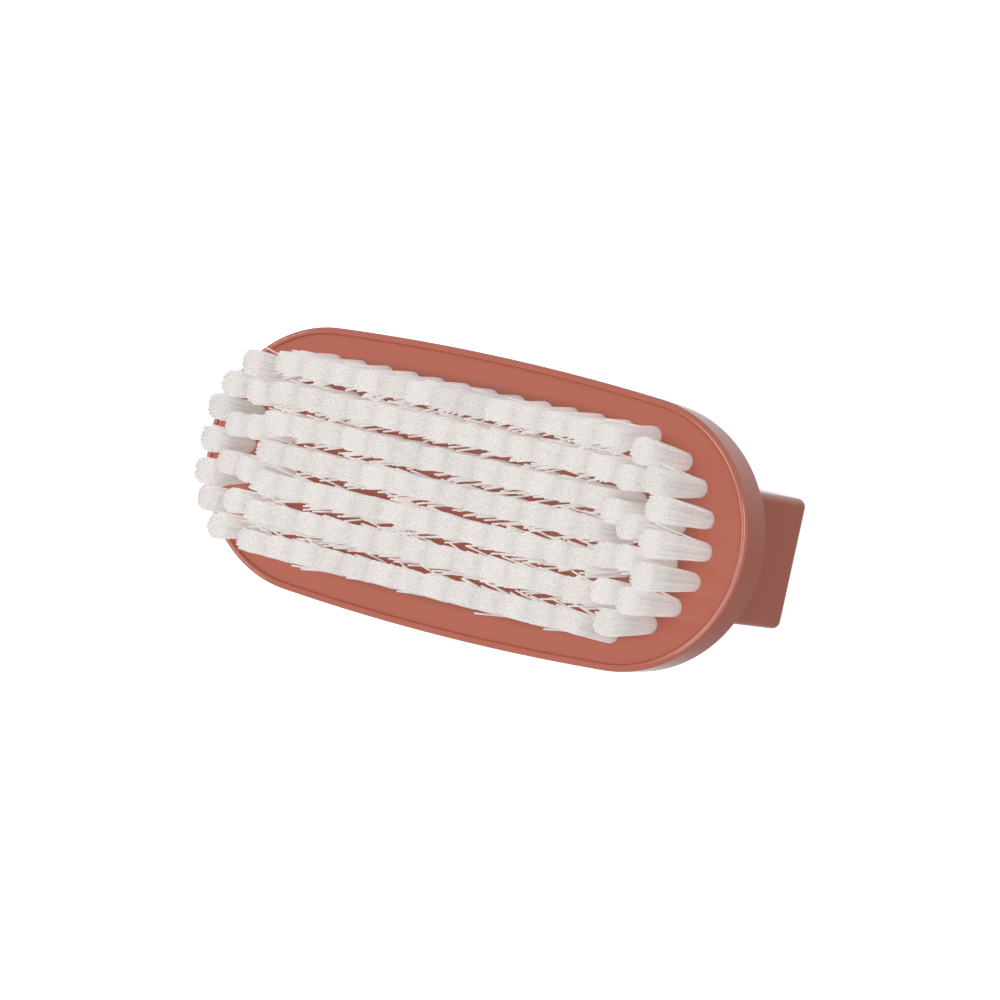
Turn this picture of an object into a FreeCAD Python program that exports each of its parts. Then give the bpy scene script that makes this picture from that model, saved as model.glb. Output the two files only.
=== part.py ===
import FreeCAD, Part
import math
import os

# Nail brush, bristles up, standing on the flat outer face of its bridge handle.
# Millimetres.  X runs along the brush, Y across it, Z up; the origin is the middle of the
# face that it stands on.  The pieces: a moulded body with blind tuft holes, a bridge
# handle bonded to its back, 117 bristle tufts, and the flat wire anchor of each tuft.

# ---- body: a flat block with a four-arc oval outline ----
BODY_LENGTH = 90.0
BODY_WIDTH = 40.4
END_RADIUS = 19.3           # arc of the round ends; the long sides are one large arc each
BODY_HEIGHT = 6.6           # rim crest to back face
WALL_DRAFT = 0.35           # how far the wall draws in from the rim to the back
RIM_WIDTH = 1.0             # raised lip around the bristle bed
RIM_ROUND = 0.7             # outer edge of the lip
BACK_ROUND = 0.5
BED_DEPTH = 0.5             # bristle bed below the rim crest
BED_COVE = 0.3              # hollow corner between the bed and the lip

# ---- bridge handle ----
HANDLE_LENGTH = 77.4
HANDLE_WIDTH = 18.9
HANDLE_HEIGHT = 22.5        # grip face to the back of the body
GRIP_THICKNESS = 4.8
LEG_THICKNESS = 5.2
HANDLE_CORNER_ROUND = 2.4   # outer corners of the loop, between each end and the grip face
HANDLE_EDGE_ROUND = 1.2     # outer edges along both sides of the loop
FINGER_GAP_ROUND = 3.2      # inner corners of the finger gap
FINGER_EDGE_ROUND = 0.8     # edges of the gap, where the fingers bear

# ---- bristle tufts ----
TUFT_LENGTH = 12.2          # bed to tips
TUFT_PITCH = 4.46           # along a row
ROW_SPACING = 4.68
TUFTS_EACH_SIDE = 6         # of the middle tuft, so 13 in a row
ROWS_EACH_SIDE = 3          # of the middle row, so 7 rows
TUFT_RADIUS = 1.3           # at the bed
ROW_TIP_RADIUS = 2.1
OUTER_ARC_TIP_RADIUS = 2.0
INNER_TIP_RADIUS = 1.6      # the inner end tufts stand closer together
HOLE_RADIUS = 1.45
HOLE_DEPTH = 4.4            # below the bed

# outer arc of seven tufts around each end, spaced like a row
OUTER_ARC_CENTRE = 24.2
OUTER_ARC_RADIUS = 14.1
OUTER_ARC_EACH_SIDE = 3
# the six tufts inside that arc, as X, Y for one corner of the brush
INNER_END_TUFTS = [(31.1, 7.9), (30.2, 3.05), (33.5, 2.75)]

# ---- tuft anchors: a flat wire across each hole, with the tuft folded round it ----
ANCHOR_SPAN = 3.2           # wider than the hole, so both ends bite into the body
ANCHOR_THICKNESS = 0.3
ANCHOR_HEIGHT = 1.5
ANCHOR_LIFT = 0.7           # bristle under the anchor, at the fold

BACK_Z = HANDLE_HEIGHT
RIM_Z = BACK_Z + BODY_HEIGHT
BED_Z = RIM_Z - BED_DEPTH
HOLE_BOTTOM_Z = BED_Z - HOLE_DEPTH
CUT_CLEARANCE = 1.0         # how far a cutting tool runs past a face


def vector(x, y, z):
    return FreeCAD.Vector(x, y, z)


def oval(inset, z):
    """Closed wire of the outline, moved inwards by inset, at height z."""
    end_centre = BODY_LENGTH / 2 - END_RADIUS
    half_width = BODY_WIDTH / 2
    rise = half_width - END_RADIUS
    side_radius = (end_centre ** 2 + half_width ** 2 - END_RADIUS ** 2) / (2 * rise)
    side_centre = side_radius - half_width
    join_angle = math.atan2(side_centre, end_centre)
    end_radius = END_RADIUS - inset
    side_radius = side_radius - inset
    join_x = end_centre + end_radius * math.cos(join_angle)
    join_y = end_radius * math.sin(join_angle)
    end_x = end_centre + end_radius
    side_y = side_radius - side_centre

    corners = [vector(join_x, join_y, z), vector(-join_x, join_y, z),
               vector(-join_x, -join_y, z), vector(join_x, -join_y, z)]
    middles = [vector(0, side_y, z), vector(-end_x, 0, z),
               vector(0, -side_y, z), vector(end_x, 0, z)]
    edges = []
    for number in range(4):
        arc = Part.Arc(corners[number], middles[number], corners[(number + 1) % 4])
        edges.append(arc.toShape())
    return Part.Wire(edges)


def edges_at_height(shape, z):
    """Edges of a shape that lie flat at height z."""
    box_edges = []
    for edge in shape.Edges:
        box = edge.BoundBox
        if abs(box.ZMin - z) < 1e-3 and abs(box.ZMax - z) < 1e-3:
            box_edges.append(edge)
    return box_edges


def row_positions(row):
    y = row * ROW_SPACING
    steps = range(-TUFTS_EACH_SIDE, TUFTS_EACH_SIDE + 1)
    return [(step * TUFT_PITCH, y) for step in steps]


def outer_arc_positions(side):
    """Seven tufts around one end; side is 1 or -1."""
    step_angle = 2 * math.asin(TUFT_PITCH / 2 / OUTER_ARC_RADIUS)
    positions = []
    for step in range(-OUTER_ARC_EACH_SIDE, OUTER_ARC_EACH_SIDE + 1):
        x = OUTER_ARC_CENTRE + OUTER_ARC_RADIUS * math.cos(step * step_angle)
        y = OUTER_ARC_RADIUS * math.sin(step * step_angle)
        positions.append((side * x, y))
    return positions


def inner_end_positions(side):
    """Six tufts between the rows and the outer arc of one end."""
    positions = []
    for x, y in INNER_END_TUFTS:
        positions.append((side * x, y))
        positions.append((side * x, -y))
    return positions


def tuft_groups():
    """Name, tuft positions and tip radius of each group of tufts."""
    groups = []
    for row in range(-ROWS_EACH_SIDE, ROWS_EACH_SIDE + 1):
        name = "row_%d" % (row + ROWS_EACH_SIDE + 1)
        groups.append((name, row_positions(row), ROW_TIP_RADIUS))
    for side, end in ((1, "right"), (-1, "left")):
        groups.append((end + "_outer_arc", outer_arc_positions(side), OUTER_ARC_TIP_RADIUS))
        groups.append((end + "_inner_arc", inner_end_positions(side), INNER_TIP_RADIUS))
    return groups


def anchor(x, y):
    corner = vector(x - ANCHOR_THICKNESS / 2, y - ANCHOR_SPAN / 2, HOLE_BOTTOM_Z + ANCHOR_LIFT)
    return Part.makeBox(ANCHOR_THICKNESS, ANCHOR_SPAN, ANCHOR_HEIGHT, corner)


def tuft(x, y, tip_radius):
    """One tuft: a round stem in its hole, flaring from the bed to the cut tips."""
    stem = Part.makeCylinder(TUFT_RADIUS, HOLE_DEPTH, vector(x, y, HOLE_BOTTOM_Z))
    flare = Part.makeCone(TUFT_RADIUS, tip_radius, TUFT_LENGTH, vector(x, y, BED_Z))
    return stem.fuse(flare).cut(anchor(x, y))


def hole(x, y):
    height = HOLE_DEPTH + CUT_CLEARANCE
    return Part.makeCylinder(HOLE_RADIUS, height, vector(x, y, HOLE_BOTTOM_Z))


def make_body(positions):
    block = Part.makeLoft([oval(WALL_DRAFT, BACK_Z), oval(0, RIM_Z)], True, True)
    block = block.makeFillet(RIM_ROUND, edges_at_height(block, RIM_Z))
    block = block.makeFillet(BACK_ROUND, edges_at_height(block, BACK_Z))

    bed_face = Part.Face(oval(RIM_WIDTH, BED_Z))
    bed_tool = bed_face.extrude(vector(0, 0, BED_DEPTH + CUT_CLEARANCE))
    bed_tool = bed_tool.makeFillet(BED_COVE, edges_at_height(bed_tool, BED_Z))
    block = block.cut(bed_tool)

    holes = Part.makeCompound([hole(x, y) for x, y in positions])
    slots = Part.makeCompound([anchor(x, y) for x, y in positions])
    return block.cut(holes).cut(slots)


def handle_side_edges(loop, half_length, low_z):
    """Edges along both sides of the handle, in a window of X and Z, except at the bond face."""
    chosen = []
    for edge in loop.Edges:
        box = edge.BoundBox
        on_side = box.YLength < 1e-3 and abs(abs(box.YMin) - HANDLE_WIDTH / 2) < 1e-3
        in_window = max(-box.XMin, box.XMax) < half_length + 1e-3 and box.ZMin > low_z - 1e-3
        on_bond_face = box.ZMin > HANDLE_HEIGHT - 1e-3
        if on_side and in_window and not on_bond_face:
            chosen.append(edge)
    return chosen


def make_handle():
    block = Part.makeBox(HANDLE_LENGTH, HANDLE_WIDTH, HANDLE_HEIGHT,
                         vector(-HANDLE_LENGTH / 2, -HANDLE_WIDTH / 2, 0))
    outer_corners = []
    for edge in edges_at_height(block, 0):
        if edge.BoundBox.XLength < 1e-3:
            outer_corners.append(edge)
    block = block.makeFillet(HANDLE_CORNER_ROUND, outer_corners)
    block = block.makeFillet(HANDLE_EDGE_ROUND, handle_side_edges(block, HANDLE_LENGTH / 2, 0))

    gap_length = HANDLE_LENGTH - 2 * LEG_THICKNESS
    gap_height = HANDLE_HEIGHT - GRIP_THICKNESS + CUT_CLEARANCE
    gap = Part.makeBox(gap_length, HANDLE_WIDTH + 2 * CUT_CLEARANCE, gap_height,
                       vector(-gap_length / 2, -HANDLE_WIDTH / 2 - CUT_CLEARANCE, GRIP_THICKNESS))
    inner_corners = []
    for edge in edges_at_height(gap, GRIP_THICKNESS):
        if edge.BoundBox.XLength < 1e-3:
            inner_corners.append(edge)
    gap = gap.makeFillet(FINGER_GAP_ROUND, inner_corners)
    loop = block.cut(gap)
    return loop.makeFillet(FINGER_EDGE_ROUND, handle_side_edges(loop, gap_length / 2, GRIP_THICKNESS))


def save(shape, name):
    shape.exportStep("parts/" + name + ".step")
    print(name, len(shape.Solids), shape.isValid(), round(shape.Volume, 2))


def main():
    os.makedirs("parts", exist_ok=True)
    groups = tuft_groups()
    positions = [place for name, places, tip_radius in groups for place in places]
    save(make_body(positions), "brush_body")
    save(make_handle(), "bridge_handle")
    for name, places, tip_radius in groups:
        tufts = [tuft(x, y, tip_radius) for x, y in places]
        save(Part.makeCompound(tufts), "tufts_" + name)
        anchors = [anchor(x, y) for x, y in places]
        save(Part.makeCompound(anchors), "anchors_" + name)
    print("tufts", len(positions))


main()
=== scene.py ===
import math
import random

import bmesh
import bpy
from bpy.props import FloatProperty, FloatVectorProperty, IntProperty, PointerProperty
from bpy.types import Operator, Panel, PropertyGroup
from mathutils import Matrix, Vector


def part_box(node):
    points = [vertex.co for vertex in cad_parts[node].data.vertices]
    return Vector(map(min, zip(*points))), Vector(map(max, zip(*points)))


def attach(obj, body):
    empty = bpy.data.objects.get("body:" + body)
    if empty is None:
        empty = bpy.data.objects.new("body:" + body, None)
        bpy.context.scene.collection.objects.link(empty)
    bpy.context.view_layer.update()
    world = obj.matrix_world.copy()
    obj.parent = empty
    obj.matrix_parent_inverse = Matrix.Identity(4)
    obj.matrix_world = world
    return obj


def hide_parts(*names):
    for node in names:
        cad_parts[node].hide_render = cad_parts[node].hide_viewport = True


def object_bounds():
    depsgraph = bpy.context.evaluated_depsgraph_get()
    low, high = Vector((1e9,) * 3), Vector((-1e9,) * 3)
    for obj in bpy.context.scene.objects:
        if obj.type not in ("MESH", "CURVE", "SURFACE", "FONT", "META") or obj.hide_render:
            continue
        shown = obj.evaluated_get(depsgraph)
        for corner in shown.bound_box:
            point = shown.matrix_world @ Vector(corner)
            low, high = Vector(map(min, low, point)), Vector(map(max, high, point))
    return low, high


bl_info = {
    "name": "Nail Brush",
    "version": (1, 0, 0),
    "blender": (4, 5, 0),
    "location": "3D View > Sidebar > Nail Brush",
    "description": "Builds an oval nail brush: moulded body, bridge handle and tufts of nylon bristle",
    "category": "Mesh",
}

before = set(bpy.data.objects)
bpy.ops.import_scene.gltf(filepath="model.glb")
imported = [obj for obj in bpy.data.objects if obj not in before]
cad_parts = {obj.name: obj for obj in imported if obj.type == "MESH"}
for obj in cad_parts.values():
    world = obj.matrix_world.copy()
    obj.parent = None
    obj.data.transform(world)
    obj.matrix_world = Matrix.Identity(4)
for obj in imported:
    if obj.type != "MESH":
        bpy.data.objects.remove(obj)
CAD_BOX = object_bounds()
BODY_LOW, BODY_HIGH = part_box("brush_body")
HANDLE_LOW, HANDLE_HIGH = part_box("bridge_handle")
ROWS = ["row_%d" % number for number in range(1, 8)]
ENDS = ["right_outer_arc", "right_inner_arc", "left_outer_arc", "left_inner_arc"]
TIP_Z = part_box("tufts_row_4")[1].z
HOLE_BOTTOM_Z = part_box("tufts_row_4")[0].z

MM = 0.001
SHARP_ANGLE = math.radians(35)
WELD = 1e-6                 # vertices nearer than this are one
SAME_PLACE = 0.01 * MM      # two coordinates nearer than this are the same in the CAD


# ---------------------------------------------------------------- properties

def size(name, description, millimetres):
    return FloatProperty(name=name, description=description, default=millimetres * MM,
                         subtype="DISTANCE", unit="LENGTH", precision=5)


def share(name, description, value):
    return FloatProperty(name=name, description=description, default=value, precision=3)


def angle(name, description, degrees):
    return FloatProperty(name=name, description=description, default=math.radians(degrees),
                         subtype="ANGLE", unit="ROTATION")


def count(name, description, value):
    return IntProperty(name=name, description=description, default=value, min=1)


def colour(name, description, red, green, blue):
    return FloatVectorProperty(name=name, description=description, default=(red, green, blue),
                               subtype="COLOR", size=3, min=0.0, max=1.0)


class BodySizes(PropertyGroup):
    end_radius: size("End radius", "Arc of the round ends; the sides are one large arc each", 19.3)
    wall_draft: size("Wall draft", "How far the wall draws in from the rim to the back", 0.35)
    lip_width: size("Lip width", "Raised lip round the bristle bed", 1.0)
    rim_round: size("Rim round", "Outer edge of the lip", 0.7)
    lip_round: size("Lip round", "Inner edge of the lip", 0.15)
    back_round: size("Back round", "Edge between the wall and the back", 0.5)
    bed_depth: size("Bed depth", "Bristle bed below the crest of the lip", 0.5)
    bed_cove: size("Bed cove", "Hollow corner between the bed and the lip", 0.3)
    hole_radius: size("Hole radius", "Blind hole that holds a tuft", 1.45)
    hole_chamfer: size("Hole chamfer", "Broken edge at the mouth of a tuft hole", 0.05)


class HandleSizes(PropertyGroup):
    grip_thickness: size("Grip thickness", "Flat bar that the hand closes on", 4.8)
    leg_thickness: size("Leg thickness", "Upright at each end", 5.2)
    corner_round: size("Corner round", "Outer corners, between each end and the grip face", 2.4)
    edge_round: size("Edge round", "Outer edges along both sides of the loop", 1.2)
    gap_round: size("Gap round", "Inner corners of the finger gap", 3.2)
    finger_round: size("Finger round", "Edges of the gap, where the fingers bear", 0.8)


class BristleSizes(PropertyGroup):
    filaments: count("Filaments", "Cut ends in one tuft", 280)
    radius: size("Filament radius", "Half the thickness of a nylon filament", 0.13)
    base_x: size("Base half length", "Half the bundle at the bed, along the brush", 1.36)
    base_y: size("Base half width", "Half the bundle at the bed, across the brush", 1.29)
    row_tip_x: size("Row tip half length", "Spread of the cut ends in the rows, along the row", 2.2)
    row_tip_y: size("Row tip half width", "The same across the row", 1.46)
    row_power: share("Row outline power", "Outline of the cut ends: 2 is oval, more is squarer", 6.0)
    end_power: share("End outline power", "The same in the end arcs", 2.6)
    end_share: share("End stray share", "Part of the filaments that stand out at the field's edge", 0.012)
    outer_tip: size("Outer arc tip radius", "Spread of the cut ends in the outer arcs", 1.85)
    inner_tip: size("Inner arc tip radius", "Spread of the cut ends in the inner arcs", 1.7)
    wander: size("Wander", "How far a cut end strays from its even place", 0.06)
    cut_spread: size("Cut spread", "Unevenness of the trimmed length", 0.10)
    row_lean: share("Row lean", "Lean of the tips to the middle, as a share of the distance from it", 0.085)
    length_lean: share("Length lean", "The same along the brush", 0.01)
    stray_share: share("Stray share", "Part of the filaments that stand out of their tuft", 0.035)
    combed_share: share("Combed share", "The same on the side that the brush was last combed to", 0.13)
    stray_reach: size("Stray reach", "How far a stray filament stands out at most", 1.5)


class Colours(PropertyGroup):
    plastic: colour("Plastic", "Moulded terracotta plastic", 0.412, 0.094, 0.051)
    plastic_deep: colour("Plastic, deep", "Denser pigment in the same plastic", 0.368, 0.078, 0.040)
    nylon: colour("Nylon", "White filament", 0.95, 0.908, 0.888)
    # Filaments fade to this colour where their tone is low: by chance; at the cut ends, which are clearer
    # than the sides and also painted darker so that they are no brighter than the sides under the light
    # from above; and with painted shade at the two ends of each tuft.
    nylon_dull_and_shaded: colour("Nylon, dull", "Cut ends, which are clearer than the sides", 0.475, 0.445, 0.430)
    wire: colour("Wire", "Drawn steel of the tuft anchors", 0.62, 0.61, 0.58)
    floor: colour("Floor", "Plain pale floor", 0.93, 0.93, 0.93)
    sky: colour("Surroundings", "White studio walls", 1.0, 1.0, 1.0)


class Studio(PropertyGroup):
    aim_x: size("Aim X", "Point that the camera looks at", 5.4)
    aim_y: size("Aim Y", "Point that the camera looks at", 0.5)
    distance: size("Distance", "Camera to the aim point", 702.2)
    azimuth: angle("Azimuth", "Camera direction round the brush, from +X towards +Y", 3.86)
    elevation: angle("Elevation", "Camera above the horizon", 59.74)
    roll: angle("Roll", "Turn of the camera about its own line of sight", -81.1)
    key_power: share("Key power", "Watts of the long soft light over the brush", 4.0)
    key_width: size("Key width", "Short side of the long soft light", 200.0)
    key_length: size("Key length", "Long side of the long soft light", 1400.0)
    rim_power: share("Rim power", "Watts of the low light behind the brush", 1.5)
    rim_width: size("Rim width", "Short side of the low light", 100.0)
    rim_length: size("Rim length", "Long side of the low light", 1000.0)
    panel_power: share("Panel power", "Watts of the small panel over the brush", 0.15)
    panel_width: size("Panel width", "Short side of the small panel", 60.0)
    panel_length: size("Panel length", "Long side of the small panel", 200.0)
    surroundings: share("Surroundings", "Strength of the white walls", 0.72)
    dark_side: share("Dark side", "Strength of the walls below the camera", 0.33)


class NailBrush(PropertyGroup):
    body: PointerProperty(type=BodySizes)
    handle: PointerProperty(type=HandleSizes)
    bristles: PointerProperty(type=BristleSizes)
    colours: PointerProperty(type=Colours)
    studio: PointerProperty(type=Studio)


# ---------------------------------------------------------------- materials

BUMP_DEPTH = 0.004 * MM
PLASTIC_IOR = 1.8           # a strong gloss
NYLON_IOR = 1.53
NYLON_PAINTED_GLOW = 0.10                 # painted glow, which stands for light that comes through a filament from its neighbours
NYLON_PAINTED_GLOW_COLOUR = (1.0, 0.97, 0.95, 1.0)
FLOOR_GLOW = 0.7

# Painted shade: the bed's colour is darkened between the tufts, where their shade falls, since the bristles
# cast no shadows.
# Half the length and width of that field, where its edge fades in, and how much of its colour the bed keeps
# there.
FIELD_X = 37.0 * MM
FIELD_Y = 16.0 * MM
FIELD_EDGE = (0.75, 1.15)
PAINTED_SHADE_TONE = 0.66

# The surroundings are darker in one direction: the cosine from it where the dark starts and is full.
DARK_DIRECTION = (0.45, -0.35, -0.82)
DARK_EDGE = (0.55, 0.97)


class Value:
    """A shader socket that takes ordinary arithmetic."""

    def __init__(self, finish, socket):
        self.finish = finish
        self.socket = socket

    def maths(self, operation, first, second):
        sockets = {0: first, 1: second}
        return self.finish.node("ShaderNodeMath", {"operation": operation}, sockets, "Value")

    def __add__(self, other):
        return self.maths("ADD", self, other)

    def __sub__(self, other):
        return self.maths("SUBTRACT", self, other)

    def __rsub__(self, other):
        return self.maths("SUBTRACT", other, self)

    def __mul__(self, other):
        return self.maths("MULTIPLY", self, other)

    __radd__ = __add__
    __rmul__ = __mul__


class Finish:
    """The nodes of a material or a world."""

    def __init__(self, made, coordinates="Object"):
        made.use_nodes = True
        self.made = made
        self.tree = made.node_tree
        self.tree.nodes.clear()
        self.place = self.node("ShaderNodeTexCoord", {}, {}, coordinates)

    def node(self, kind, settings, sockets, result):
        """Adds a node, with the values or links of its sockets, and returns one of its outputs."""
        made = self.tree.nodes.new(kind)
        for name, value in settings.items():
            setattr(made, name, value)
        for name, value in sockets.items():
            if isinstance(value, Value):
                self.tree.links.new(value.socket, made.inputs[name])
            else:
                made.inputs[name].default_value = value
        return Value(self, made.outputs[result])

    def noise(self, per_metre, detail=2.0, stretch=(1.0, 1.0, 1.0)):
        """Soft noise from 0 to 1, stretched along the axes that have a small number."""
        place = self.node("ShaderNodeMapping", {}, {"Vector": self.place, "Scale": stretch}, "Vector")
        sockets = {"Vector": place, "Scale": per_metre, "Detail": detail, "Roughness": 0.55}
        return self.node("ShaderNodeTexNoise", {"normalize": True}, sockets, "Fac")

    def step(self, value, low, high):
        """0 below low, 1 above high and smooth between."""
        sockets = {"Value": value, "From Min": low, "From Max": high}
        return self.node("ShaderNodeMapRange", {"interpolation_type": "SMOOTHSTEP"}, sockets, "Result")

    def axis(self, name):
        """One coordinate of the surface, in metres."""
        return self.node("ShaderNodeSeparateXYZ", {}, {"Vector": self.place}, name)

    def blend(self, factor, first, second):
        """From the first colour to the second as factor goes from 0 to 1."""
        sockets = {0: factor, 6: (*first, 1.0), 7: (*second, 1.0)}
        return self.node("ShaderNodeMix", {"data_type": "RGBA"}, sockets, 2)

    def dim(self, colour, factor):
        """A colour times a factor that changes over the surface."""
        return self.node("ShaderNodeVectorMath", {"operation": "SCALE"}, {0: colour, 3: factor}, "Vector")

    def bump(self, height):
        """Normal from a height of 0 to 1 that stands for the bump depth."""
        return self.node("ShaderNodeBump", {}, {"Height": height, "Distance": BUMP_DEPTH}, "Normal")

    def shade(self, sockets):
        shader = self.node("ShaderNodeBsdfPrincipled", {}, sockets, "BSDF")
        output = self.tree.nodes.new("ShaderNodeOutputMaterial")
        self.tree.links.new(shader.socket, output.inputs["Surface"])
        return self.made


def painted_shade_between_tufts(finish):
    """Mask of painted shade: 1 between the tufts, 0 on the open bed round them."""
    along = finish.axis("X") * (1 / FIELD_X)
    across = finish.axis("Y") * (1 / FIELD_Y)
    along = along * along
    across = across * across
    return 1 - finish.step(along * along + across * across, *FIELD_EDGE)


def moulded_plastic(name, colours, painted_shade_mask=None):
    """Glossy plastic: clouds of pigment, a faint orange peel and hairlines from handling.
    The last argument gives a mask of where painted shade darkens its colour."""
    finish = Finish(bpy.data.materials.new(name))
    cloud = finish.noise(55.0, 3.0)
    grain = finish.noise(2400.0, 2.0)
    smear = finish.noise(140.0, 3.0, (1.0, 0.35, 1.0))
    hairline = finish.step(finish.noise(900.0, 2.0, (0.06, 3.0, 0.5)), 0.70, 0.78)
    peel = finish.noise(650.0, 1.0)
    colour = finish.blend(0.75 * cloud + 0.25 * grain, colours.plastic, colours.plastic_deep)
    if painted_shade_mask:
        # Painted shade: the bed is darkened between the tufts, where their shade falls.
        colour = finish.dim(colour, 1 - (1 - PAINTED_SHADE_TONE) * painted_shade_mask(finish))
    return finish.shade({
        "Base Color": colour,
        "Roughness": 0.035 + 0.03 * smear + 0.02 * grain + 0.09 * hairline,
        "Normal": finish.bump(peel * 0.6 - hairline * 0.25),
        "IOR": PLASTIC_IOR,
    })


def nylon(name, colours):
    """White nylon filament: each one has its own tone, with draw marks along it, painted shade at its cut
    end and at the ends of its tuft, and a painted glow.
    """
    finish = Finish(bpy.data.materials.new(name))
    tone = finish.node("ShaderNodeAttribute", {"attribute_name": "tone"}, {}, "Fac")
    draw_marks = finish.noise(5200.0, 1.0, (1.0, 1.0, 0.08))
    whiteness = tone * 0.8 + draw_marks * 0.2
    return finish.shade({
        "Base Color": finish.blend(whiteness, colours.nylon_dull_and_shaded, colours.nylon),
        "Roughness": 0.22 + 0.14 * draw_marks,
        "Normal": finish.bump(draw_marks),
        "IOR": NYLON_IOR,
        # Painted glow: the filaments give off light of their own, in place of light passed on through the
        # tuft.
        "Emission Color": NYLON_PAINTED_GLOW_COLOUR,
        "Emission Strength": NYLON_PAINTED_GLOW,
    })


def drawn_wire(name, colours):
    """Flat drawn wire, bright along its length."""
    finish = Finish(bpy.data.materials.new(name))
    streak = finish.noise(4000.0, 2.0, (1.0, 0.05, 1.0))
    dull = [0.7 * part for part in colours.wire]
    return finish.shade({
        "Base Color": finish.blend(streak, colours.wire, dull),
        "Metallic": 1.0,
        "Roughness": 0.22 + 0.2 * streak,
        "Normal": finish.bump(streak),
    })


def pale_floor(name, colours):
    """Plain pale floor with a light of its own, so that it stays as bright as the surroundings."""
    finish = Finish(bpy.data.materials.new(name))
    cloud = finish.noise(3.0, 2.0)
    darker = [0.97 * part for part in colours.floor]
    return finish.shade({
        "Base Color": finish.blend(cloud, colours.floor, darker),
        "Roughness": 0.55 + 0.1 * cloud,
        "Emission Color": (1.0, 1.0, 1.0, 1.0),
        "Emission Strength": FLOOR_GLOW,
    })


def studio_walls(name, colours, strength, dark_strength):
    """White surroundings, darker low down in front of the brush."""
    walls = Finish(bpy.data.worlds.new(name), "Generated")
    facing = walls.node("ShaderNodeVectorMath", {"operation": "DOT_PRODUCT"},
                        {0: walls.place, 1: DARK_DIRECTION}, "Value")
    dark = walls.step(facing, *DARK_EDGE)
    sockets = {"Color": (*colours.sky, 1.0), "Strength": strength - (strength - dark_strength) * dark}
    light = walls.node("ShaderNodeBackground", {}, sockets, "Background")
    output = walls.tree.nodes.new("ShaderNodeOutputWorld")
    walls.tree.links.new(light.socket, output.inputs["Surface"])
    return walls.made


# ---------------------------------------------------------------- mesh helpers

def near(value, target):
    return abs(value - target) < SAME_PLACE


def edges_where(bm, test):
    """Edges whose two ends both pass the test."""
    return [edge for edge in bm.edges if test(edge.verts[0].co) and test(edge.verts[1].co)]


def round_off(bm, parts, radius, segments, affect="EDGES"):
    """Rounds edges, or the corners of an outline."""
    bmesh.ops.bevel(bm, geom=parts, offset=radius, offset_type="OFFSET", segments=segments,
                    profile=0.5, affect=affect, material=-1, clamp_overlap=False)


def chain(bm, points):
    """An open run of edges through the points."""
    corners = [bm.verts.new(point) for point in points]
    for first, second in zip(corners, corners[1:]):
        bm.edges.new((first, second))
    return corners


def mesh_from(bm, name):
    """Turns a finished bmesh into a mesh."""
    mesh = bpy.data.meshes.new(name)
    bm.to_mesh(mesh)
    bm.free()
    return mesh


def add_piece(name, mesh, material, node, sharp_angle=SHARP_ANGLE):
    """Puts a finished mesh in the scene in place of a CAD node."""
    mesh.materials.clear()
    mesh.materials.append(material)
    for face in mesh.polygons:
        face.use_smooth = True
    mesh.set_sharp_from_angle(angle=sharp_angle)
    piece = bpy.data.objects.new(name, mesh)
    bpy.context.scene.collection.objects.link(piece)
    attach(piece, "root")
    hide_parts(node)
    return piece


def weigh_normals(piece):
    """Keeps the flats flat next to their rounded edges."""
    modifier = piece.modifiers.new("Weighted normals", "WEIGHTED_NORMAL")
    modifier.keep_sharp = True


def cut_away(mesh, cutter_mesh):
    """The mesh less the cutter."""
    target = bpy.data.objects.new("target", mesh)
    cutter = bpy.data.objects.new("cutter", cutter_mesh)
    for thing in (target, cutter):
        bpy.context.scene.collection.objects.link(thing)
    modifier = target.modifiers.new("Cut", "BOOLEAN")
    modifier.operation = "DIFFERENCE"
    modifier.solver = "EXACT"
    modifier.object = cutter
    bpy.context.view_layer.update()
    graph = bpy.context.evaluated_depsgraph_get()
    result = bpy.data.meshes.new_from_object(target.evaluated_get(graph))
    for thing in (target, cutter):
        bpy.data.objects.remove(thing)
    return result


def tuft_places(group):
    """X, Y of each tuft of a group, from the solids of its anchor wires."""
    bm = bmesh.new()
    bm.from_mesh(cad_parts["anchors_" + group].data)
    bmesh.ops.remove_doubles(bm, verts=bm.verts, dist=WELD)
    waiting = set(bm.verts)
    places = []
    while waiting:
        solid = set()
        reached = {waiting.pop()}
        while reached:
            solid |= reached
            reached = {edge.other_vert(vert) for vert in reached for edge in vert.link_edges} - solid
        waiting -= solid
        middle = sum((vert.co for vert in solid), Vector()) / len(solid)
        places.append((round(middle.x, 6), round(middle.y, 6)))
    bm.free()
    return sorted(places)


# ---------------------------------------------------------------- body

END_STEPS = 44              # of a quarter of the outline
SIDE_STEPS = 12
HOLE_SIDES = 28
FLAT_MARGIN = 0.8 * MM      # flat beyond the bed cove and the back round


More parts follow.
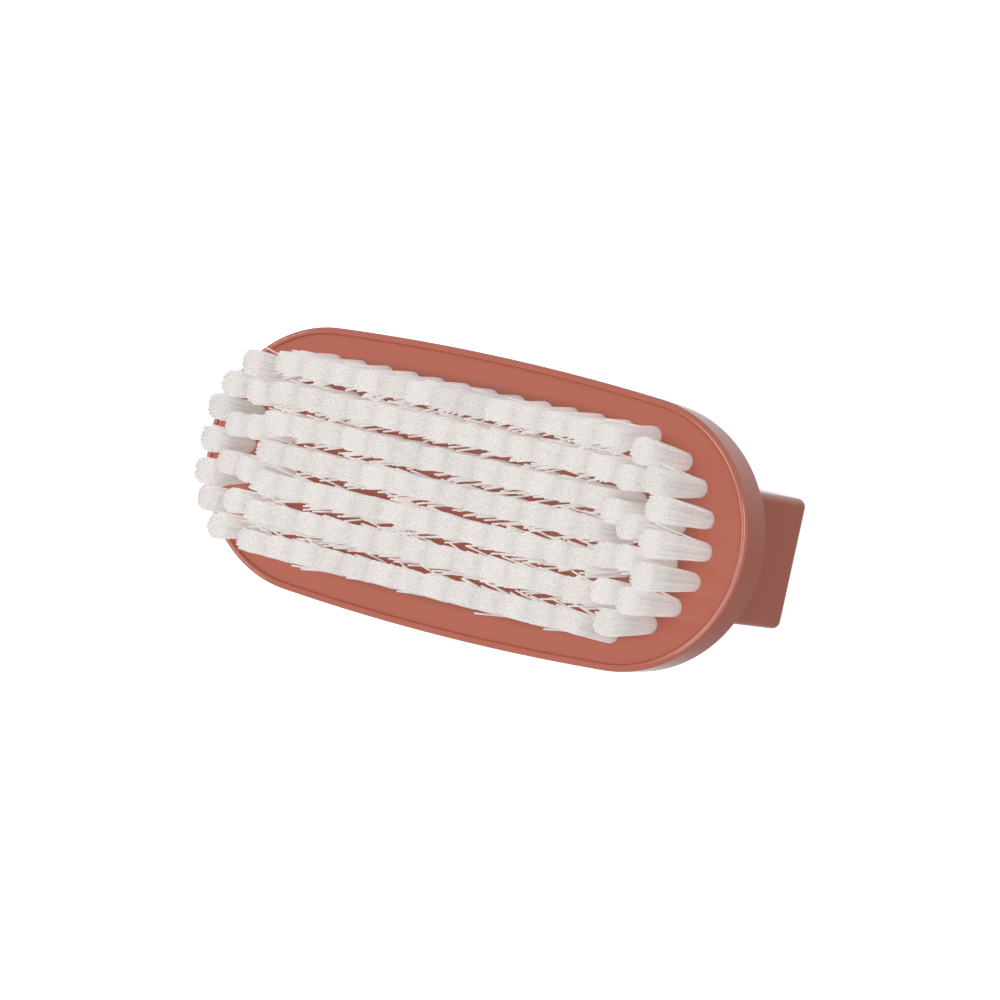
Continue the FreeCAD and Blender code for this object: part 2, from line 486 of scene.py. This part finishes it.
def make_body_shell(sizes):
    """The body without its tuft holes: a section swept round a quarter of the four-arc outline."""
    rim_z = BODY_HIGH.z
    back_z = BODY_LOW.z
    bed_z = rim_z - sizes.bed_depth
    # The wall leans and the rim is round, so the sharp corner of the rim lies outside the CAD's box.
    taper = sizes.wall_draft * sizes.rim_round / (rim_z - back_z)
    half_length = BODY_HIGH.x + taper
    half_width = BODY_HIGH.y + taper
    end_centre = half_length - sizes.end_radius
    rise = half_width - sizes.end_radius
    side_radius = (end_centre ** 2 + half_width ** 2 - sizes.end_radius ** 2) / (2 * rise)
    side_centre = side_radius - half_width
    join_angle = math.atan2(side_centre, end_centre)

    lip_x = half_length - sizes.lip_width
    back_x = half_length - sizes.wall_draft
    bm = bmesh.new()
    section = chain(bm, [(lip_x - FLAT_MARGIN, 0, bed_z), (lip_x, 0, bed_z), (lip_x, 0, rim_z),
                         (half_length, 0, rim_z), (back_x, 0, back_z), (back_x - FLAT_MARGIN, 0, back_z)])
    # Radius and segments of each corner of the section.
    rounds = [(sizes.bed_cove, 5), (sizes.lip_round, 4), (sizes.rim_round, 9), (sizes.back_round, 6)]
    for corner, (radius, segments) in zip(section[1:5], rounds):
        round_off(bm, [corner], radius, segments, "VERTICES")

    swept = bm.verts[:] + bm.edges[:]
    sweeps = [(end_centre, 0, join_angle, END_STEPS),
              (0, -side_centre, math.pi / 2 - join_angle, SIDE_STEPS)]
    for centre_x, centre_y, turn, steps in sweeps:
        swept = bmesh.ops.spin(bm, geom=swept, cent=(centre_x, centre_y, 0), axis=(0, 0, 1),
                               angle=turn, steps=steps)["geom_last"]
    for axis in "XY":
        everything = bm.verts[:] + bm.edges[:] + bm.faces[:]
        bmesh.ops.mirror(bm, geom=everything, matrix=Matrix.Identity(4), merge_dist=WELD, axis=axis)
    bmesh.ops.remove_doubles(bm, verts=bm.verts, dist=WELD)
    bmesh.ops.holes_fill(bm, edges=[edge for edge in bm.edges if edge.is_boundary], sides=0)
    bmesh.ops.recalc_face_normals(bm, faces=bm.faces)
    return mesh_from(bm, "body_shell"), bed_z


def make_hole_cutter(sizes, bed_z):
    """All the tuft holes as one cutter, each with a flared mouth."""
    bm = bmesh.new()
    depth = bed_z - HOLE_BOTTOM_Z
    mouth = 2 * sizes.hole_chamfer
    for group in ROWS + ENDS:
        for x, y in tuft_places(group):
            middle = Matrix.Translation((x, y, bed_z - depth / 2))
            made = bmesh.ops.create_cone(bm, cap_ends=True, segments=HOLE_SIDES,
                                         radius1=sizes.hole_radius, radius2=sizes.hole_radius,
                                         depth=depth, matrix=middle)
            top = [face for face in {face for vert in made["verts"] for face in vert.link_faces}
                   if face.normal.z > 0.5]
            raised = bmesh.ops.extrude_face_region(bm, geom=top)["geom"]
            rim = [part for part in raised if isinstance(part, bmesh.types.BMVert)]
            bmesh.ops.delete(bm, geom=top, context="FACES_ONLY")
            bmesh.ops.translate(bm, verts=rim, vec=(0, 0, mouth / 2))
            widen = (sizes.hole_radius + mouth) / sizes.hole_radius
            bmesh.ops.scale(bm, verts=rim, vec=(widen, widen, 1), space=Matrix.Translation((-x, -y, 0)))
    # The flare starts below the bed, so that it cuts the edge of the hole.
    for vert in bm.verts:
        if vert.co.z > bed_z - WELD and not near(vert.co.z, bed_z + mouth / 2):
            vert.co.z -= mouth / 2
    return mesh_from(bm, "hole_cutter")


class NAILBRUSH_OT_body(Operator):
    """Build the moulded oval body with its bristle bed and tuft holes"""
    bl_idname = "nail_brush.body"
    bl_label = "Body"

    def execute(self, context):
        brush = context.scene.nail_brush
        shell, bed_z = make_body_shell(brush.body)
        body = cut_away(shell, make_hole_cutter(brush.body, bed_z))
        if len(body.vertices) <= len(shell.vertices):
            raise RuntimeError("the tuft holes were not cut")
        # The bed of the body gets painted shade between the tufts.
        material = moulded_plastic("body_plastic", brush.colours, painted_shade_between_tufts)
        weigh_normals(add_piece("moulded_body", body, material, "brush_body"))
        return {"FINISHED"}


# ---------------------------------------------------------------- handle

def make_handle(sizes):
    """The bridge handle: its side outline, given its width and then its rounded edges."""
    low, high = HANDLE_LOW, HANDLE_HIGH
    gap_x = high.x - sizes.leg_thickness
    gap_z = low.z + sizes.grip_thickness
    bm = bmesh.new()
    outline = [(low.x, high.z), (low.x, low.z), (high.x, low.z), (high.x, high.z),
               (gap_x, high.z), (gap_x, gap_z), (-gap_x, gap_z), (-gap_x, high.z)]
    corners = [bm.verts.new((x, low.y, z)) for x, z in outline]
    bm.faces.new(corners)
    round_off(bm, corners[5:7], sizes.gap_round, 12, "VERTICES")
    round_off(bm, corners[1:3], sizes.corner_round, 12, "VERTICES")
    raised = bmesh.ops.extrude_face_region(bm, geom=bm.faces[:])["geom"]
    far_side = [part for part in raised if isinstance(part, bmesh.types.BMVert)]
    bmesh.ops.translate(bm, verts=far_side, vec=(0, high.y - low.y, 0))
    bmesh.ops.recalc_face_normals(bm, faces=bm.faces)

    for side in (low.y, high.y):
        side_edges = [edge for edge in edges_where(bm, lambda place: near(place.y, side))
                      if not all(near(vert.co.z, high.z) for vert in edge.verts)]
        inner = [edge for edge in side_edges
                 if all(abs(vert.co.x) < gap_x + WELD and vert.co.z > gap_z - WELD for vert in edge.verts)]
        outer = [edge for edge in side_edges if edge not in inner]
        round_off(bm, outer, sizes.edge_round, 8)
        round_off(bm, inner, sizes.finger_round, 6)
    bmesh.ops.recalc_face_normals(bm, faces=bm.faces)
    return mesh_from(bm, "moulded_handle")


class NAILBRUSH_OT_handle(Operator):
    """Build the bridge handle with its finger gap"""
    bl_idname = "nail_brush.handle"
    bl_label = "Bridge handle"

    def execute(self, context):
        brush = context.scene.nail_brush
        handle = make_handle(brush.handle)
        material = moulded_plastic("handle_plastic", brush.colours)
        weigh_normals(add_piece("moulded_handle", handle, material, "bridge_handle"))
        return {"FINISHED"}


# ---------------------------------------------------------------- bristles

FILAMENT_SIDES = 5
FILAMENT_RINGS = (0.0, 0.25, 0.5, 0.75, 1.0)    # hole bottom, bed, then up to the cut end
BEND = (0.0, 0.0, 0.38, 0.70, 1.0)              # how much of its spread a filament has at each ring
RING_TONE_WITH_PAINTED_SHADE = (1.0, 1.0, 1.0, 0.92, 0.55)              # how white a filament is at each ring; the cut end is painted darker, against the light it catches from above
GOLDEN_ANGLE = math.pi * (3 - math.sqrt(5))
ANCHOR_CLEARANCE = 0.3 * MM     # filaments pass on either side of the anchor wire
FOLD_LIFT = 0.35 * MM
FOLD_SHARE = 0.75               # how much of its place along the brush a filament keeps at the fold
TIP_CLEARANCE = 0.02 * MM

FILAMENT_TONE = 0.88
FILAMENT_TONE_SPREAD = 0.12
TUFT_TONE_SPREAD = 0.08
PAINTED_SHADE_AT_TUFT_ENDS = 0.40                  # painted shade: how much darker the two ends of a tuft, along the brush, are than its middle, where the tufts of a row meet
CUT_SLOPE = 0.05                # unevenness of the cut across a tuft
SAG = 0.05                      # sideways bow of a filament, as a share of its spread
LOWEST_CUT = 3                  # the lowest cut end, in cut spreads

COMBED_SIDE = -0.3              # share of a tuft's radius, towards -Y
OUTSIDE_Y = 13.0 * MM           # outer side of the first and last rows
LEAST_REACH = 0.1               # of a stray filament, as a share of the most
STRAY_FAN = 0.5                 # spread of the directions that stray filaments point in, in radians

# Inward and sideways lean of an outer arc's tufts in mm, from the middle one outwards.
OUTER_LEANS = [(1.75, 0.0), (1.1, 0.3), (0.55, 0.0), (0.0, -0.4)]
INNER_LEAN = 0.4 * MM
# One tuft of the right-hand inner arc has been pushed over towards its neighbour.
PUSHED_TUFT = (33.5, 2.75)
PUSHED_LEAN = (-0.9, -1.35)


def make_filament():
    """One filament of unit length and radius, closed at both ends."""
    bm = bmesh.new()
    bmesh.ops.create_cone(bm, cap_ends=True, segments=FILAMENT_SIDES, radius1=1, radius2=1, depth=1,
                          matrix=Matrix.Translation((0, 0, 0.5)))
    upright = [edge for edge in bm.edges if abs(edge.verts[0].co.z - edge.verts[1].co.z) > 0.5]
    bmesh.ops.subdivide_edges(bm, edges=upright, cuts=len(FILAMENT_RINGS) - 2)
    bm.verts.layers.float.new("tone")
    return mesh_from(bm, "filament")


def lean_of(group, place, number, brush):
    """How far the tips of a tuft lean, in X and Y."""
    x, y = place
    side = math.copysign(1, x)
    if group.endswith("outer_arc"):
        inward, outward = OUTER_LEANS[number]
        return Vector((-side * inward * MM, math.copysign(outward * MM, y)))
    if group.endswith("inner_arc"):
        if near(x, PUSHED_TUFT[0] * MM) and near(y, PUSHED_TUFT[1] * MM):
            return Vector(PUSHED_LEAN) * MM
        return Vector((-side * INNER_LEAN, 0))
    return Vector((-brush.length_lean * x, -brush.row_lean * y))


def tip_outline(group, brush):
    """Half length, half width and outline power of the cut ends of a group's tufts."""
    if group in ROWS:
        return brush.row_tip_x, brush.row_tip_y, brush.row_power
    tip_radius = brush.outer_tip if group.endswith("outer_arc") else brush.inner_tip
    return tip_radius, tip_radius, brush.end_power


def stray_chance(group, place, ray, brush):
    """How likely a filament is to stand out of its tuft."""
    outer_side = ray.y * place[1] > 0 and abs(place[1]) > OUTSIDE_Y
    if group in ENDS or outer_side:
        return brush.end_share
    return brush.combed_share if ray.y < COMBED_SIDE else brush.stray_share


def add_filament(bundle, filament, scratch, spots, heights, tone, radius):
    """Adds one filament to the bundle, through a spot at the height of each of its rings."""
    strand = bmesh.new()
    strand.from_mesh(filament)
    tone_layer = strand.verts.layers.float["tone"]
    rings = [[] for ring in FILAMENT_RINGS]
    for vert in strand.verts:
        ring = round(vert.co.z * (len(FILAMENT_RINGS) - 1))
        vert[tone_layer] = tone * RING_TONE_WITH_PAINTED_SHADE[ring]
        rings[ring].append(vert)
    for ring, spot, height in zip(rings, spots, heights):
        bmesh.ops.scale(strand, verts=ring, vec=(radius, radius, 0))
        bmesh.ops.translate(strand, verts=ring, vec=(spot.x, spot.y, height))
    strand.to_mesh(scratch)
    strand.free()
    bundle.from_mesh(scratch)


def add_tuft(bundle, filament, scratch, group, place, lean, brush, dice):
    """Adds one tuft's filaments to the bundle."""
    bed_z = BODY_HIGH.z - bpy.context.scene.nail_brush.body.bed_depth
    tip_x, tip_y, power = tip_outline(group, brush)
    middle = Vector(place)
    turn = dice.uniform(0, 2 * math.pi)
    tuft_tone = FILAMENT_TONE + dice.gauss(0, TUFT_TONE_SPREAD)
    cut_slope = Vector((dice.gauss(0, CUT_SLOPE), dice.gauss(0, CUT_SLOPE)))
    for number in range(brush.filaments):
        distance = math.sqrt((number + 0.5) / brush.filaments)
        direction = number * GOLDEN_ANGLE + turn
        heading = Vector((math.cos(direction), math.sin(direction)))
        ray = heading * distance
        base = Vector((ray.x * brush.base_x, ray.y * brush.base_y))
        corner = (abs(heading.x) ** power + abs(heading.y) ** power) ** (-1 / power)
        tip = Vector((ray.x * tip_x, ray.y * tip_y)) * corner + lean
        tip += Vector((dice.gauss(0, brush.wander), dice.gauss(0, brush.wander)))
        if dice.random() < stray_chance(group, place, ray, brush):
            reach = dice.uniform(LEAST_REACH, 1.0) * brush.stray_reach
            bearing = dice.gauss(math.copysign(math.pi / 2, ray.y), STRAY_FAN)
            tip += Vector((math.cos(bearing), math.sin(bearing))) * reach

        uncut = tip.dot(cut_slope) + abs(dice.gauss(0, brush.cut_spread))
        tip_z = TIP_Z - TIP_CLEARANCE - min(abs(uncut), LOWEST_CUT * brush.cut_spread)
        above_bed = [bed_z + (tip_z - bed_z) * part / 3 for part in (1, 2, 3)]
        heights = (HOLE_BOTTOM_Z + FOLD_LIFT, bed_z, *above_bed)
        sag = dice.gauss(0, SAG)
        spots = [middle + base.lerp(tip, part + sag * part * (1 - part) * 4) for part in BEND]
        fold_x = math.copysign(ANCHOR_CLEARANCE, base.x) + base.x * FOLD_SHARE
        spots[0] = middle + Vector((fold_x, base.y))
        # A random tone, darkened by painted shade towards the two ends of the tuft along the brush.
        tone = tuft_tone + dice.gauss(0, FILAMENT_TONE_SPREAD) - PAINTED_SHADE_AT_TUFT_ENDS * ray.x ** 2
        tone = min(max(tone, 0), 1)
        add_filament(bundle, filament, scratch, spots, heights, tone, brush.radius)


def make_bristles(group, seed):
    """One row or end arc of tufts as one piece."""
    brush = bpy.context.scene.nail_brush.bristles
    dice = random.Random(seed)
    filament = make_filament()
    scratch = bpy.data.meshes.new("scratch")
    bundle = bmesh.new()
    places = sorted(tuft_places(group), key=lambda place: (abs(place[1]), place[0]))
    if not places:
        raise RuntimeError("no anchors were found for the tufts of " + group)
    for number, place in enumerate(places):
        lean = lean_of(group, place, (number + 1) // 2, brush)
        add_tuft(bundle, filament, scratch, group, place, lean, brush, dice)
    mesh = mesh_from(bundle, "bristles_" + group)
    for used in (filament, scratch):
        bpy.data.meshes.remove(used)
    piece = add_piece("bristles_" + group, mesh, nylon_material(), "tufts_" + group,
                      sharp_angle=math.pi)
    piece.visible_shadow = False        # nylon passes on the light that falls on it


def nylon_material():
    """The one material of all the tufts, made when it is first needed."""
    colours = bpy.context.scene.nail_brush.colours
    return bpy.data.materials.get("nylon_filament") or nylon("nylon_filament", colours)


class NAILBRUSH_OT_rows(Operator):
    """Build the seven straight rows of tufts"""
    bl_idname = "nail_brush.rows"
    bl_label = "Straight rows"

    def execute(self, context):
        for seed, group in enumerate(ROWS):
            make_bristles(group, seed)
        return {"FINISHED"}


class NAILBRUSH_OT_ends(Operator):
    """Build the outer and inner arcs of tufts at both ends"""
    bl_idname = "nail_brush.ends"
    bl_label = "End arcs"

    def execute(self, context):
        for seed, group in enumerate(ENDS, len(ROWS)):
            make_bristles(group, seed)
        return {"FINISHED"}


class NAILBRUSH_OT_anchors(Operator):
    """Give the tuft anchors the finish of drawn wire"""
    bl_idname = "nail_brush.anchors"
    bl_label = "Tuft anchors"

    def execute(self, context):
        material = drawn_wire("anchor_wire", context.scene.nail_brush.colours)
        for group in ROWS + ENDS:
            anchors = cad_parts["anchors_" + group]
            for place in anchors.material_slots:
                place.material = material
        return {"FINISHED"}


# ---------------------------------------------------------------- stage

FLOOR_HALF = 4.0            # metres
KEY_DIRECTION = (0.35, -0.15, 0.92)
RIM_DIRECTION = (-0.76, -0.03, 0.64)
STRIP_DISTANCE = 1.0
# A small panel near the brush; the lip of the right-hand end mirrors it to the camera.
PANEL_DIRECTION = (-0.37, 0.0, 0.929)
PANEL_DISTANCE = 0.4
PANEL_TARGET = (0.044, 0.0)
LENS = 180.0                # millimetres
SENSOR = 36.0
NEAR_CLIP = 0.01            # metres
FAR_CLIP = 20.0


def add_strip_light(name, power, width, length, direction, distance, target):
    """A long soft light that faces the target from a direction, its length across the brush."""
    light = bpy.data.lights.new(name, "AREA")
    light.shape = "RECTANGLE"
    light.energy = power
    light.size = length
    light.size_y = width
    lamp = bpy.data.objects.new(name, light)
    lamp.location = target + Vector(direction).normalized() * distance
    lamp.rotation_euler = (lamp.location - target).to_track_quat("Z", "Y").to_euler()
    bpy.context.scene.collection.objects.link(lamp)


class NAILBRUSH_OT_stage(Operator):
    """Add the floor, the soft lights and the camera"""
    bl_idname = "nail_brush.stage"
    bl_label = "Stage"

    def execute(self, context):
        scene = context.scene
        brush = scene.nail_brush
        studio = brush.studio
        bm = bmesh.new()
        bmesh.ops.create_grid(bm, x_segments=1, y_segments=1, size=FLOOR_HALF,
                              matrix=Matrix.Translation((0, 0, CAD_BOX[0].z)))
        floor = bpy.data.objects.new("floor", mesh_from(bm, "floor"))
        floor.data.materials.append(pale_floor("floor", brush.colours))
        scene.collection.objects.link(floor)
        # The floor shows, but the white surroundings light the brush from below.
        floor.visible_diffuse = False
        floor.visible_glossy = False
        floor.visible_shadow = False
        scene.world = studio_walls("surroundings", brush.colours,
                                   studio.surroundings, studio.dark_side)
        scene.view_settings.view_transform = "Standard"

        aim = Vector((studio.aim_x, studio.aim_y, BODY_HIGH.z))
        lip_end = Vector((*PANEL_TARGET, BODY_HIGH.z))
        add_strip_light("key", studio.key_power, studio.key_width, studio.key_length,
                        KEY_DIRECTION, STRIP_DISTANCE, aim)
        add_strip_light("rim", studio.rim_power, studio.rim_width, studio.rim_length,
                        RIM_DIRECTION, STRIP_DISTANCE, aim)
        add_strip_light("panel", studio.panel_power, studio.panel_width, studio.panel_length,
                        PANEL_DIRECTION, PANEL_DISTANCE, lip_end)

        turn = (Matrix.Rotation(studio.azimuth + math.pi / 2, 4, "Z")
                @ Matrix.Rotation(math.pi / 2 - studio.elevation, 4, "X")
                @ Matrix.Rotation(studio.roll, 4, "Z"))
        camera = bpy.data.objects.new("camera", bpy.data.cameras.new("camera"))
        camera.data.lens = LENS
        camera.data.sensor_width = SENSOR
        camera.data.clip_start = NEAR_CLIP
        camera.data.clip_end = FAR_CLIP
        camera.matrix_world = Matrix.Translation(aim) @ turn @ Matrix.Translation((0, 0, studio.distance))
        scene.collection.objects.link(camera)
        scene.camera = camera
        return {"FINISHED"}


# ---------------------------------------------------------------- panel and start

BUILD_STEPS = (NAILBRUSH_OT_body, NAILBRUSH_OT_handle, NAILBRUSH_OT_rows, NAILBRUSH_OT_ends,
               NAILBRUSH_OT_anchors, NAILBRUSH_OT_stage)


class NAILBRUSH_PT_panel(Panel):
    """Sizes, colours and build steps of the nail brush"""
    bl_idname = "NAILBRUSH_PT_panel"
    bl_label = "Nail Brush"
    bl_space_type = "VIEW_3D"
    bl_region_type = "UI"
    bl_category = "Nail Brush"

    def draw(self, context):
        brush = context.scene.nail_brush
        for step in BUILD_STEPS:
            self.layout.operator(step.bl_idname)
        for group in (brush.body, brush.handle, brush.bristles, brush.colours, brush.studio):
            box = self.layout.box()
            for name in group.__annotations__:
                box.prop(group, name)


CLASSES = (BodySizes, HandleSizes, BristleSizes, Colours, Studio, NailBrush,
           *BUILD_STEPS, NAILBRUSH_PT_panel)


def register():
    for made in CLASSES:
        bpy.utils.register_class(made)
    bpy.types.Scene.nail_brush = PointerProperty(type=NailBrush)


def unregister():
    del bpy.types.Scene.nail_brush
    for made in reversed(CLASSES):
        bpy.utils.unregister_class(made)


def main():
    register()
    bpy.ops.nail_brush.body()
    bpy.ops.nail_brush.handle()
    bpy.ops.nail_brush.rows()
    bpy.ops.nail_brush.ends()
    bpy.ops.nail_brush.anchors()
    bpy.ops.nail_brush.stage()


if __name__ == "__main__":
    main()
